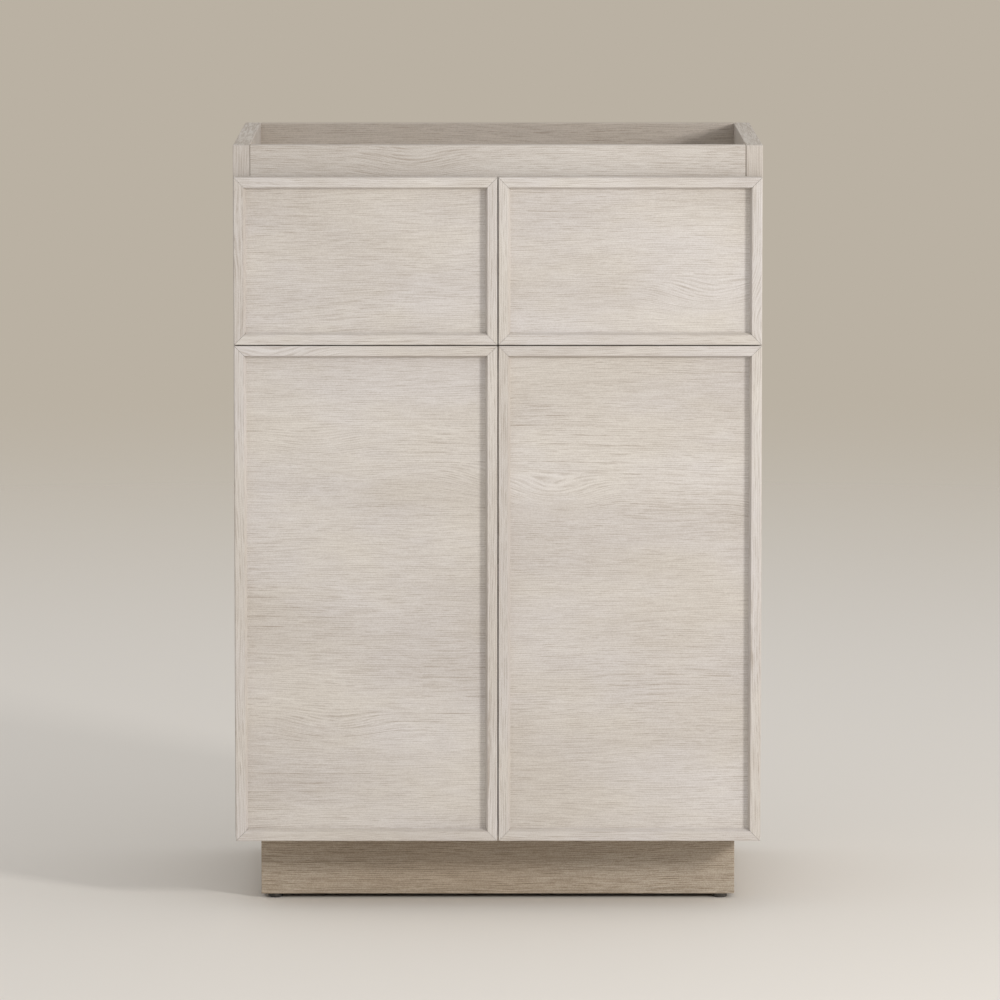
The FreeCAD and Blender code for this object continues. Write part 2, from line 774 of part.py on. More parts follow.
def slide_members(wall_x, toward):
    """Cabinet, middle and drawer members of one slide, from the wall towards the drawer."""
    step = slide_wall + slide_play
    half = slide_height / 2
    cabinet = channel(wall_x, wall_x + toward * slide_flange, half)
    middle_member = channel(wall_x + toward * step, wall_x + toward * (slide_width - step), half - step)
    drawer_member = channel(wall_x + toward * slide_width, wall_x + toward * step * 2, half - step * 2)
    for y in slide_screw_ys():
        start = wall_x - toward * overrun
        drill = many_sided(screw_radius + screw_clearance, slide_wall + overrun * 2, start, y, slide_centre_z,
                           vector(toward, 0, 0), screw_sides)
        cabinet = cabinet.cut(drill)
    return cabinet, middle_member, drawer_member


outer_slide = slide_members(inner_x, -1)
inner_slide = slide_members(partition_x, 1)
cabinet_members = [outer_slide[0], inner_slide[0]]
save("slide_cabinet_members", cabinet_members + [mirrored(member) for member in cabinet_members])
save_pair("slide_middle_members", [outer_slide[1], inner_slide[1]])
save_pair("slide_drawer_members", [outer_slide[2], inner_slide[2]])
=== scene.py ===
import bmesh
import bpy
import math
from mathutils import Matrix, Vector


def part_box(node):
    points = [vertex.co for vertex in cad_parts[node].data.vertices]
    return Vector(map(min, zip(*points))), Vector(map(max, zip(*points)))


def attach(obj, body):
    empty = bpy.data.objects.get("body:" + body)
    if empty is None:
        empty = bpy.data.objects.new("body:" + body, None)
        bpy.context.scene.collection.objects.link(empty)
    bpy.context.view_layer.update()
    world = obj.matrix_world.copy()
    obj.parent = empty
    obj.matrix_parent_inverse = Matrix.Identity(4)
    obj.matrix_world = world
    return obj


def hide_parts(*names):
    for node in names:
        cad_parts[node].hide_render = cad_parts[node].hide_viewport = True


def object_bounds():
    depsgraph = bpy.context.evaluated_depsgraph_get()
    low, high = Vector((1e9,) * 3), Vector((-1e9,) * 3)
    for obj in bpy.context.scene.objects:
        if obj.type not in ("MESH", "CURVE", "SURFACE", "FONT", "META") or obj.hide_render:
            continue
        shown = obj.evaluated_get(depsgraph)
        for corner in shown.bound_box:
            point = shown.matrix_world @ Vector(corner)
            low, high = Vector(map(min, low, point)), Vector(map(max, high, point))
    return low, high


# Vanity unit: a free-standing bathroom cabinet with an open top, two drawers above two doors.
# Metres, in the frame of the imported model: X to the right, Y to the back, Z up.

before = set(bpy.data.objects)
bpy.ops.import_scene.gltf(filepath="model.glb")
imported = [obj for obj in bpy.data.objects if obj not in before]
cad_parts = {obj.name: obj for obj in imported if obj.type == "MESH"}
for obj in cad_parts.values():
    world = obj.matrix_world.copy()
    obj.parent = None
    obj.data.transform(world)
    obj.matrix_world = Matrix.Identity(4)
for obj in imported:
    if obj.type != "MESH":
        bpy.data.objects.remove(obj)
cad_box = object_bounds()


# Carcass boards: side panels, bottom, apron, rails, partition, back boards and shelf.
# Particle board faced and edge-banded with a whitewashed wood-grain laminate. The grain stands
# upright on the side panels and the partition and runs across on the rest.

whitewash_warm = (213, 207, 199)
whitewash_cool = (211, 206, 203)
whitewash_streak = (163, 152, 141)
carcass_warm = (200, 193, 185)
carcass_cool = (201, 195, 189)
apron_warm = (208, 202, 195)
apron_cool = (209, 204, 198)
apron_contrast = 1.2
# The back boards' colours are painted darker: painted shade, for the shade inside the carcass.
back_painted_shade_warm = (190, 180, 169)
back_painted_shade_cool = (190, 181, 172)
back_painted_shade_streak = (138, 127, 115)
rim_streaks = 0.55
# The joints at the apron's ends show a thin dark line: dust, and painted shade in the crevice.
joint_dust_and_shade_width = 0.0009
joint_dust_and_shade_colour = (112, 100, 86)
laminate_roughness = 0.47
laminate_specular = 0.4
laminate_relief = (0.35, 0.00012)
grain_orders = {"X": ("X", "Z", "Y"), "Y": ("Y", "X", "Z"), "Z": ("Z", "Y", "X")}
edge_orders = {"X": ("Z", "Y", "X"), "Y": ("Z", "X", "Y"), "Z": ("Y", "X", "Z")}
piece_shift = (1.37, 0.73, 0.41)
end_facing = 0.72

# The print's layers. Cells are counted per metre along, across and through the grain, a band is the part
# of a layer that shows, and a share is how much the layer darkens the ground.
drift_cells = (2.2, 6.5, 6.5)
drift_width = 0.026
ripple_cells = (15.0, 38.0, 38.0)
ripple_width = 0.0008
knot_cells = (3.4, 9.0, 9.0)
knot_eye = 0.05
knot_share = 0.18
swirl_reach = 0.30
swirl_width = 0.015
sheet_lean = 0.83
stagger_rates = (2 * math.pi * 173, 611.0)
stagger_reach = 0.016
figure_lines = (95.0, 31.0)
figure_crests = (0.90, 1.0)
figure_cells = (4.0, 13.0, 13.0)
figure_patches = (0.44, 0.64)
figure_break_cells = (30.0, 210.0, 210.0)
figure_breaks = (0.42, 0.60)
figure_share = 0.42
row_lines = 430.0
row_drift_cells = (6.0, 14.0, 0.0)
row_drift = 3.0
row_break_cells = (62.0, 150.0, 0.0)
row_breaks = (0.34, 0.70, 0.20, 1.0)
row_share = 0.46
speckle_cells = (900.0, 900.0, 900.0)
speckle_band = (0.34, 0.66)
speckle_share = 0.16
hair_cells = (30.0, 1900.0, 0.0)
hair_band = (0.42, 0.58)
hair_share = 0.13
streak_cells = (10.0, 420.0, 0.0)
broad_cells = (3.0, 75.0, 75.0)
streak_band = (0.36, 0.74)
streak_share = 0.02
broad_share = 0.04
pore_cells = (75.0, 760.0, 760.0)
pore_band = (0.66, 0.78)
pore_share = 0.14
cloud_cells = (2.8, 10.0, 10.0)
cloud_band = (0.66, 0.34)
hue_cells = (5.0, 11.0, 11.0)
hue_band = (0.34, 0.68)
edging_cells = (24.0, 520.0, 520.0)
edging_band = (0.40, 0.60, -0.55, 0.45)
fine_cells = (50.0, 900.0, 0.0)
fine_height = 0.7
pore_height = -0.8
streak_roughness = 0.16


def tint(red, green, blue):
    """An sRGB colour from 0 to 255 as the linear colour that a shader takes."""
    return tuple(((part / 255 + 0.055) / 1.055) ** 2.4 for part in (red, green, blue)) + (1.0,)


def new_finish(name):
    """A new material, with its node tree and its main shader."""
    material = bpy.data.materials.new(name)
    material.use_nodes = True
    return material, material.node_tree, material.node_tree.nodes["Principled BSDF"]


def set_inputs(tree, made, inputs):
    """Sets a node's inputs; each is a plain value or another node's output."""
    for name, value in inputs.items():
        if isinstance(value, bpy.types.NodeSocket):
            tree.links.new(value, made.inputs[name])
        else:
            made.inputs[name].default_value = value


def node(tree, kind, inputs, **settings):
    """A shader node with its settings and inputs."""
    made = tree.nodes.new("ShaderNode" + kind)
    for name, value in settings.items():
        setattr(made, name, value)
    set_inputs(tree, made, inputs)
    return made


def math_node(tree, operation, first, second=0.0, third=0.0):
    """The result of a sum on one to three values."""
    return node(tree, "Math", {0: first, 1: second, 2: third}, operation=operation).outputs[0]


def wave(tree, value, rate=2 * math.pi):
    """A sine of a value, which is turned into radians by a rate."""
    return math_node(tree, "SINE", math_node(tree, "MULTIPLY", value, rate))


def noise(tree, place, cells, detail=2.0, roughness=0.5, dimensions="3D"):
    """Noise with so many cells per metre along, across and through the grain."""
    scaled = node(tree, "VectorMath", {0: place, 1: cells}, operation="MULTIPLY").outputs[0]
    inputs = {"Vector": scaled, "Scale": 1.0, "Detail": detail, "Roughness": roughness}
    return node(tree, "TexNoise", inputs, normalize=True, noise_dimensions=dimensions).outputs[0]


def band(tree, value, low, high, first=0.0, second=1.0):
    """A smooth ramp from one value to another between low and high."""
    inputs = {"Value": value, "From Min": low, "From Max": high, "To Min": first, "To Max": second}
    return node(tree, "MapRange", inputs, interpolation_type="SMOOTHSTEP").outputs["Result"]


def blend_colours(tree, share, first, second):
    """The first colour, going over into the second as the share goes from 0 to 1."""
    inputs = {"Factor": share, 6: first, 7: second}
    return node(tree, "Mix", inputs, data_type="RGBA").outputs[2]


def set_surface(tree, shader, colour, roughness, height, strength, depth):
    """Gives the main shader its colour, its roughness and a relief of some strength and depth."""
    bump = node(tree, "Bump", {"Strength": strength, "Distance": depth, "Height": height}).outputs[0]
    set_inputs(tree, shader, {"Base Color": colour, "Roughness": roughness, "Normal": bump})


def object_place(tree):
    """The place on a piece, in the frame of the model."""
    return node(tree, "TexCoord", {}).outputs["Object"]


def faces_along(tree, axis, limit=end_facing):
    """1 where the surface faces along an axis, and 0 elsewhere."""
    normal = node(tree, "TexCoord", {}).outputs["Normal"]
    facing = node(tree, "SeparateXYZ", {0: normal}).outputs[axis]
    return math_node(tree, "GREATER_THAN", math_node(tree, "ABSOLUTE", facing), limit)


def grain_place(tree, grain, piece_number):
    """The place on a piece as along, across and through its grain, turned on the board's ends."""
    place = node(tree, "SeparateXYZ", {0: object_place(tree)})
    orders = []
    for order in (grain_orders[grain], edge_orders[grain]):
        inputs = {number: place.outputs[axis] for number, axis in enumerate(order)}
        orders.append(node(tree, "CombineXYZ", inputs).outputs[0])
    inputs = {"Factor": faces_along(tree, grain), 4: orders[0], 5: orders[1]}
    turned_place = node(tree, "Mix", inputs, data_type="VECTOR").outputs[1]
    shift = [part * piece_number for part in piece_shift]
    return node(tree, "VectorMath", {0: turned_place, 1: shift}, operation="ADD").outputs[0]


def bent_grain(tree, place, knots):
    """The place with its grain pushed aside by slow drift, small ripples and knots."""
    parts = node(tree, "SeparateXYZ", {0: place})
    ripple = math_node(tree, "MULTIPLY", noise(tree, place, ripple_cells), ripple_width)
    offset = math_node(tree, "MULTIPLY_ADD", noise(tree, place, drift_cells), drift_width, ripple)
    swirl = band(tree, knots, 0.0, swirl_reach, 1.0, 0.0)
    offset = math_node(tree, "MULTIPLY_ADD", swirl, swirl_width, offset)
    across = math_node(tree, "ADD", parts.outputs[1], offset)
    return node(tree, "CombineXYZ", {0: parts.outputs[0], 1: across, 2: parts.outputs[2]}).outputs[0]


def print_sheet(tree, bent):
    """The print as a flat sheet: the place along it is staggered from row to row."""
    parts = node(tree, "SeparateXYZ", {0: bent})
    level = math_node(tree, "MULTIPLY_ADD", parts.outputs[2], sheet_lean, parts.outputs[1])
    stagger = math_node(tree, "ADD", *(wave(tree, level, rate) for rate in stagger_rates))
    along = math_node(tree, "MULTIPLY_ADD", stagger, stagger_reach, parts.outputs[0])
    return node(tree, "CombineXYZ", {0: along, 1: level}).outputs[0]


def wavy_figure(tree, place, bent):
    """Thin flame-like lines that come and go in patches and break up along the grain."""
    parts = node(tree, "SeparateXYZ", {0: bent})
    lean = math_node(tree, "MULTIPLY", parts.outputs[2], figure_lines[1])
    height = math_node(tree, "MULTIPLY_ADD", parts.outputs[1], figure_lines[0], lean)
    lines = band(tree, wave(tree, height), *figure_crests)
    patches = band(tree, noise(tree, place, figure_cells), *figure_patches)
    breaks = band(tree, noise(tree, bent, figure_break_cells, 2.0, 0.6), *figure_breaks)
    return math_node(tree, "MULTIPLY", math_node(tree, "MULTIPLY", lines, patches), breaks)


def pore_rows(tree, sheet):
    """Close rows of dark dashes."""
    level = node(tree, "SeparateXYZ", {0: sheet}).outputs[1]
    drift = math_node(tree, "MULTIPLY", noise(tree, sheet, row_drift_cells, 1.0, 0.5, "2D"), row_drift)
    rows = wave(tree, math_node(tree, "MULTIPLY_ADD", level, row_lines, drift))
    breaks = noise(tree, sheet, row_break_cells, 2.0, 0.6, "2D")
    return math_node(tree, "MULTIPLY", math_node(tree, "MULTIPLY_ADD", rows, 0.5, 0.5),
                     band(tree, breaks, *row_breaks))


def whitewashed_wood(name, grain, piece_number, warm=whitewash_warm, cool=whitewash_cool,
                     streak=whitewash_streak, contrast=1.0, cloudiness=0.20, end_streaks=0.0,
                     joint_reach=None):
    """Limed wood-grain laminate: cloudy ground, wavy figure, fine streaks, pores and a few faint knots.

    end_streaks strengthens the print on a board's banded ends, and joint_reach is how far from the middle a
    dark line of dust and painted shade shows in the joints at the board's ends.
    """
    material, tree, shader = new_finish(name)
    place = grain_place(tree, grain, piece_number)
    cells = node(tree, "VectorMath", {0: place, 1: knot_cells}, operation="MULTIPLY").outputs[0]
    knots = node(tree, "TexVoronoi", {"Vector": cells, "Scale": 1.0, "Randomness": 1.0}).outputs["Distance"]
    bent = bent_grain(tree, place, knots)
    sheet = print_sheet(tree, bent)
    streaks = noise(tree, sheet, streak_cells, 1.0, 0.6, "2D")
    pores = band(tree, noise(tree, bent, pore_cells, 1.0, 0.4), *pore_band)
    layers = (
        (band(tree, noise(tree, place, speckle_cells, 0.0), *speckle_band), speckle_share),
        (band(tree, noise(tree, sheet, hair_cells, 0.0, 0.5, "2D"), *hair_band), hair_share),
        (band(tree, streaks, *streak_band), streak_share),
        (band(tree, noise(tree, bent, broad_cells), *streak_band), broad_share),
        (wavy_figure(tree, place, bent), figure_share),
        (pores, pore_share),
    )
    dark_share = math_node(tree, "MULTIPLY", pore_rows(tree, sheet), row_share * contrast)
    for layer, share in layers:
        dark_share = math_node(tree, "MULTIPLY_ADD", layer, share * contrast, dark_share)
    cloud = band(tree, noise(tree, place, cloud_cells), *cloud_band)
    dark_share = math_node(tree, "MULTIPLY_ADD", cloud, cloudiness, dark_share)
    knot_eyes = band(tree, knots, knot_eye, 0.0)
    dark_share = math_node(tree, "MULTIPLY_ADD", knot_eyes, knot_share * contrast, dark_share)
    if end_streaks:
        edging = band(tree, noise(tree, place, edging_cells, 1.0), *edging_band)
        edging = math_node(tree, "MULTIPLY", edging, faces_along(tree, grain))
        dark_share = math_node(tree, "MULTIPLY_ADD", edging, end_streaks, dark_share)
    hue = band(tree, noise(tree, place, hue_cells, 3.0, 0.6), *hue_band)
    ground = blend_colours(tree, hue, tint(*warm), tint(*cool))
    colour = blend_colours(tree, math_node(tree, "MINIMUM", dark_share, 1.0), ground, tint(*streak))
    # A dark line of dust and painted shade in the joints at the board's ends.
    if joint_reach is not None:
        along = node(tree, "SeparateXYZ", {0: object_place(tree)}).outputs[grain]
        joint_dust_and_shade_share = band(tree, math_node(tree, "ABSOLUTE", along), joint_reach - joint_dust_and_shade_width,
                    joint_reach - joint_dust_and_shade_width / 2)
        colour = blend_colours(tree, joint_dust_and_shade_share, colour, tint(*joint_dust_and_shade_colour))
    fine = noise(tree, sheet, fine_cells, 0.0, 0.7, "2D")
    dents = math_node(tree, "MULTIPLY", pores, pore_height)
    height = math_node(tree, "MULTIPLY_ADD", fine, fine_height, dents)
    roughness = math_node(tree, "MULTIPLY_ADD", streaks, streak_roughness, laminate_roughness)
    set_surface(tree, shader, colour, roughness, height, *laminate_relief)
    shader.inputs["Specular IOR Level"].default_value = laminate_specular
    return material


def dress(name, material):
    """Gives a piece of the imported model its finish."""
    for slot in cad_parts[name].material_slots:
        slot.material = material


carcass_boards = {
    "side_panel_left": "Z", "side_panel_right": "Z", "bottom_panel": "X", "front_apron": "X",
    "middle_rail": "X", "drawer_cross_rail": "X", "centre_partition": "Z", "back_top_panel": "X",
    "back_bottom_panel": "X", "shelf": "X",
}
for number, (board, grain) in enumerate(carcass_boards.items()):
    board_print = {}
    if board == "front_apron":
        board_print = {"warm": apron_warm, "cool": apron_cool, "contrast": apron_contrast,
                       "joint_reach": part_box(board)[1][0]}
    elif board.startswith("side_panel"):
        board_print = {"warm": carcass_warm, "cool": carcass_cool, "end_streaks": rim_streaks}
    elif board.startswith("back_"):
        # The back boards get the darker colours of painted shade.
        board_print = {"warm": back_painted_shade_warm, "cool": back_painted_shade_cool, "streak": back_painted_shade_streak}
    dress(board, whitewashed_wood(board + "_laminate", grain, number, **board_print))


# Plinth: four boards of the same laminate, mitred into a recessed base.
# Painted shade and a painted warm floor bounce make them darker and browner than the fronts; their print is
# stronger.

# These colours hold painted shade and a painted warm bounce from the floor.
plinth_painted_shade_warm = (185, 170, 151)
plinth_painted_shade_cool = (189, 177, 161)
plinth_painted_shade_streak = (134, 118, 99)
plinth_contrast = 1.6
plinth_cloudiness = 0.1
plinth_first_number = 12
plinth_boards = {"plinth_front": "X", "plinth_back": "X", "plinth_sides": "Y"}
for number, (board, grain) in enumerate(plinth_boards.items()):
    dress(board, whitewashed_wood(board + "_laminate", grain, plinth_first_number + number, plinth_painted_shade_warm,
                                  plinth_painted_shade_cool, plinth_painted_shade_streak, plinth_contrast, plinth_cloudiness))


# Glue blocks and corner braces: bare softwood, sawn and planed.
# The blocks are glued and nailed into the plinth's corners, the braces under the rim.

softwood_early = (226, 204, 166)
softwood_late = (192, 150, 104)
softwood_roughness = 0.68
softwood_relief = (0.4, 0.00012)
ring_drift_cells = (3.0, 14.0, 14.0)
ring_drift = 6.0
ring_lines = (300.0, 90.0)
late_band = (0.35, 0.95)
late_share = 0.45
fibre_cells = (22.0, 1400.0, 1400.0)
fibre_share = 0.25


def bare_softwood(name, grain, piece_number):
    """Planed spruce: straight growth rings, pale early wood and thin brown late wood."""
    material, tree, shader = new_finish(name)
    place = grain_place(tree, grain, piece_number)
    parts = node(tree, "SeparateXYZ", {0: place})
    drift = math_node(tree, "MULTIPLY", noise(tree, place, ring_drift_cells), ring_drift)
    rings = math_node(tree, "MULTIPLY_ADD", parts.outputs[2], ring_lines[1], drift)
    rings = math_node(tree, "MULTIPLY_ADD", parts.outputs[1], ring_lines[0], rings)
    late = math_node(tree, "MULTIPLY", band(tree, math_node(tree, "FRACT", rings), *late_band), late_share)
    share = math_node(tree, "MULTIPLY_ADD", noise(tree, place, fibre_cells), fibre_share, late)
    colour = blend_colours(tree, share, tint(*softwood_early), tint(*softwood_late))
    set_surface(tree, shader, colour, softwood_roughness, share, *softwood_relief)
    return material


dress("plinth_glue_blocks", bare_softwood("glue_block_softwood", "Z", 1))
dress("corner_braces", bare_softwood("corner_brace_softwood", "X", 2))


# Floor glides: black nylon buttons, moulded round the heads of nails.
# They are driven up into the plinth and are scuffed where they slide.

glide_radius = 0.008
glide_height = 0.005
glide_profile = (
    (0.0, 0.0004), (0.0018, 0.0004), (0.0024, 0.0), (0.0062, 0.0), (0.0074, 0.0004), (glide_radius, 0.0014),
    (glide_radius, 0.0044), (0.0076, glide_height), (0.0, glide_height),
)
glide_finish = ((46, 43, 40), (78, 72, 66), 0.5)
plastic_relief = (0.25, 0.00005)
mark_roughness = 0.2
mark_cells = (90.0, 90.0, 90.0)
mark_band = (0.45, 0.75)
skin_cells = (2600.0, 2600.0, 2600.0)
merge_distance = 1e-6
smooth_angle = math.radians(32)


def moulded_plastic(name, colour, worn, roughness):
    """Injection-moulded plastic with a fine spark-eroded skin and faint handling marks.

    A finish lists the colour, the worn or dull colour and the roughness, in this order.
    """
    material, tree, shader = new_finish(name)
    place = object_place(tree)
    marks = noise(tree, place, mark_cells, 3.0, 0.6)
    skin = noise(tree, place, skin_cells, 1.0)
    colour = blend_colours(tree, band(tree, marks, *mark_band), tint(*colour), tint(*worn))
    roughness = math_node(tree, "MULTIPLY_ADD", marks, mark_roughness, roughness - mark_roughness / 2)
    set_surface(tree, shader, colour, roughness, skin, *plastic_relief)
    return material


def turned(profile, steps=32):
    """A shape turned about Z from a profile of (radius, height) points."""
    shape = bmesh.new()
    points = [shape.verts.new((radius, 0.0, height)) for radius, height in profile]
    edges = [shape.edges.new(pair) for pair in zip(points, points[1:])]
    bmesh.ops.spin(shape, geom=points + edges, cent=(0, 0, 0), axis=(0, 0, 1), angle=2 * math.pi, steps=steps,
                   use_merge=True)
    bmesh.ops.remove_doubles(shape, verts=shape.verts, dist=merge_distance)
    bmesh.ops.recalc_face_normals(shape, faces=shape.faces)
    return shape


def put(group, shape, place=Matrix.Identity(4)):
    """Adds a placed copy of a shape to a group of like pieces."""
    copy = bpy.data.meshes.new("copy")
    shape.to_mesh(copy)
    copy.transform(place)
    group.from_mesh(copy)
    bpy.data.meshes.remove(copy)


def pointing(axis, place):
    """The placement that turns Z to an axis and moves the origin to a place."""
    return Matrix.Translation(place) @ Vector(axis).to_track_quat("Z", "Y").to_matrix().to_4x4()


def new_piece(name, group, material, body, slot, *replaced):
    """A finished piece: its mesh and finish, the body that it moves with, and the parts that it stands in
    for, which are hidden. The slot is not used.
    """
    bmesh.ops.recalc_face_normals(group, faces=group.faces)
    data = bpy.data.meshes.new(name)
    group.to_mesh(data)
    group.free()
    data.materials.append(material)
    data.shade_smooth()
    data.set_sharp_from_angle(angle=smooth_angle)
    piece = bpy.data.objects.new(name, data)
    bpy.context.scene.collection.objects.link(piece)
    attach(piece, body)
    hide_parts(*replaced)


def solid_boxes(name):
    """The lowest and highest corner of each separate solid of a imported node."""
    shape = bmesh.new()
    shape.from_mesh(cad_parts[name].data)
    bmesh.ops.remove_doubles(shape, verts=shape.verts, dist=merge_distance)
    boxes = []
    waiting = set(shape.verts)
    while waiting:
        queue = [waiting.pop()]
        reached = []
        while queue:
            vertex = queue.pop()
            reached.append(vertex.co.copy())
            for edge in vertex.link_edges:
                other = edge.other_vert(vertex)
                if other in waiting:
                    waiting.remove(other)
                    queue.append(other)
        low = Vector(min(point[axis] for point in reached) for axis in range(3))
        high = Vector(max(point[axis] for point in reached) for axis in range(3))
        boxes.append((low, high))
    shape.free()
    return sorted(boxes, key=lambda box: tuple(round(part, 5) for part in box[0]))


glide_shape = turned(glide_profile)
glides = bmesh.new()
for low, high in solid_boxes("floor_glides"):
    middle = (low + high) / 2
    put(glides, glide_shape, Matrix.Translation((middle.x, middle.y, low.z)))
glide_nylon = moulded_plastic("glide_nylon", *glide_finish)
new_piece("floor_glide_pads", glides, glide_nylon, "carcass", "glide_plastic", "floor_glides")


# Bumpers: small domes of clear soft rubber, cast flat on their sticky side.
# They are stuck on the carcass's front edges where the fronts close.

bumper_profile_shares = ((0.0, 1.0), (0.45, 0.95), (0.78, 0.72), (0.96, 0.35), (1.0, 0.0), (0.0, 0.0))
bumper_finish = ((222, 220, 214), (206, 202, 194), 0.32)
bumper_clearness = 0.35
bumper_rubber = moulded_plastic("bumper_rubber", *bumper_finish)
shader = bumper_rubber.node_tree.nodes["Principled BSDF"]
shader.inputs["Transmission Weight"].default_value = bumper_clearness
bumpers = bmesh.new()
for low, high in solid_boxes("bumpers"):
    middle = (low + high) / 2
    radius = (high.x - low.x) / 2
    profile = [(radius * across, (high.y - low.y) * up) for across, up in bumper_profile_shares]
    put(bumpers, turned(profile, steps=24), pointing((0, -1, 0), (middle.x, high.y, middle.z)))
new_piece("bumper_domes", bumpers, bumper_rubber, "carcass", "bumper_rubber", "bumpers")


# Cam nuts: die-cast zinc discs with a cross recess in the face.
# They lie flush in pockets near the ends of the rails and are turned tight with a driver.

cam_radius = 0.0075
cam_depth = 0.011
cam_profile = (
    (0.0, -0.0005), (0.0058, -0.0005), (0.0062, -0.0001), (0.0071, 0.0), (cam_radius, -0.0004),
    (cam_radius, -cam_depth), (0.0, -cam_depth),
)
cam_cross = (0.0033, 0.0008, 0.0026)
cross_taper = 0.55
cam_back_zone = 0.1
cam_finish = ((184, 184, 182), (150, 150, 150), 0.46, (700.0, 700.0, 700.0))
plating_cells = (55.0, 55.0, 55.0)
plating_dullness = (0.45, 0.5)
plating_roughness = (0.10, 0.18)
plating_relief = (0.15, 0.00003)


def plated_metal(name, colour, dull, roughness, line_cells):
    """Plated or cast metal: fine lines along the piece and cloudy plating.

    A metal's finish also lists the cells per metre of its lines, along X, Y and Z.
    """
    material, tree, shader = new_finish(name)
    place = object_place(tree)
    lines = noise(tree, place, line_cells, 2.0, 0.6)
    cloud = noise(tree, place, plating_cells, 3.0, 0.55)
    share = math_node(tree, "MULTIPLY", cloud, plating_dullness[1])
    share = math_node(tree, "MULTIPLY_ADD", lines, plating_dullness[0], share)
    colour = blend_colours(tree, share, tint(*colour), tint(*dull))
    roughness = math_node(tree, "MULTIPLY_ADD", lines, plating_roughness[0],
                          roughness - sum(plating_roughness) / 2)
    roughness = math_node(tree, "MULTIPLY_ADD", cloud, plating_roughness[1], roughness)
    set_surface(tree, shader, colour, roughness, lines, *plating_relief)
    shader.inputs["Metallic"].default_value = 1.0
    return material


def cross_cutter(reach, half_width, depth):
    """A tapered cross, from above the surface down to a depth."""
    shape = bmesh.new()
    outline = []
    for quarter in range(4):
        turn = Matrix.Rotation(quarter * math.pi / 2, 3, "Z")
        for x, y in ((reach, -half_width), (reach, half_width), (half_width, half_width)):
            outline.append(shape.verts.new(turn @ Vector((x, y, depth))))
    top = shape.faces.new(outline)
    sunk = bmesh.ops.extrude_face_region(shape, geom=[top])["geom"]
    floor_points = [part for part in sunk if isinstance(part, bmesh.types.BMVert)]
    bmesh.ops.translate(shape, verts=floor_points, vec=(0, 0, -2 * depth))
    bmesh.ops.scale(shape, verts=floor_points, vec=(cross_taper, cross_taper, 1.0))
    bmesh.ops.recalc_face_normals(shape, faces=shape.faces)
    return shape


def carved(shape, cutter, operation="DIFFERENCE"):
    """The shape with the cutter taken out of it, or joined to it by UNION."""
    holders = []
    for part in (shape, cutter):
        data = bpy.data.meshes.new("carving")
        part.to_mesh(data)
        part.free()
        holders.append(bpy.data.objects.new("carving", data))
        bpy.context.scene.collection.objects.link(holders[-1])
    cut = holders[0].modifiers.new("cut", "BOOLEAN")
    cut.operation = operation
    cut.solver = "EXACT"
    cut.object = holders[1]
    result = bmesh.new()
    result.from_object(holders[0], bpy.context.evaluated_depsgraph_get())
    for holder in holders:
        data = holder.data
        bpy.data.objects.remove(holder)
        bpy.data.meshes.remove(data)
    return result


cam_shape = carved(turned(cam_profile, steps=48), cross_cutter(*cam_cross))
cams = bmesh.new()
for low, high in solid_boxes("cam_nuts"):
    middle = (low + high) / 2
    if high.z - low.z < high.y - low.y:
        put(cams, cam_shape, pointing((0, 0, -1), (middle.x, middle.y, low.z)))
    elif middle.y > cam_back_zone:
        put(cams, cam_shape, pointing((0, -1, 0), (middle.x, low.y, middle.z)))
    else:
        put(cams, cam_shape, pointing((0, 1, 0), (middle.x, high.y, middle.z)))
cam_zinc = plated_metal("cam_cast_zinc", *cam_finish)
new_piece("cam_nut_discs", cams, cam_zinc, "carcass", "cam_zinc", "cam_nuts")


# Shelf pins: turned steel studs with a collar, nickel-plated and pushed into the side panels.
# The shelf rests on their noses, and the collar is cut flat under it.

pin_radius = 0.0025
pin_collar_radius = 0.004
pin_nose = 0.009
pin_tail = 0.0107
pin_profile = (
    (0.0, pin_nose), (0.0016, pin_nose), (0.0023, 0.0086), (pin_radius, 0.0080), (pin_radius, 0.0019),
    (0.0036, 0.0019), (pin_collar_radius, 0.0015), (pin_collar_radius, 0.0), (pin_radius, 0.0),
    (pin_radius, -0.0098), (0.0018, -pin_tail), (0.0, -pin_tail),
)
pin_finish = ((204, 200, 192), (172, 168, 160), 0.28, (120.0, 1400.0, 1400.0))
pin_nickel = plated_metal("pin_nickel", *pin_finish)
shelf_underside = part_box("shelf")[0][2]
pins = bmesh.new()
for low, high in solid_boxes("shelf_pins"):
    side = math.copysign(1, low.x)
    wall_x = high.x - pin_tail if side > 0 else low.x + pin_tail
    place = pointing((-side, 0, 0), (wall_x, (low.y + high.y) / 2, shelf_underside - pin_radius))
    pin = turned(pin_profile, steps=28)
    bmesh.ops.transform(pin, matrix=place, verts=pin.verts)
    flat = bmesh.ops.bisect_plane(pin, geom=pin.verts[:] + pin.edges[:] + pin.faces[:], dist=1e-7,
                                  plane_co=(0, 0, shelf_underside), plane_no=(0, 0, 1), clear_outer=True)
    rim = [part for part in flat["geom_cut"] if isinstance(part, bmesh.types.BMEdge)]
    bmesh.ops.holes_fill(pin, edges=rim)
    put(pins, pin)
new_piece("shelf_pin_studs", pins, pin_nickel, "carcass", "pin_steel", "shelf_pins")


# Screws: zinc-plated steel with pan heads and pressed cross recesses, driven home in the hinge plates,
# hinge cups, latch ears and drawer fronts.

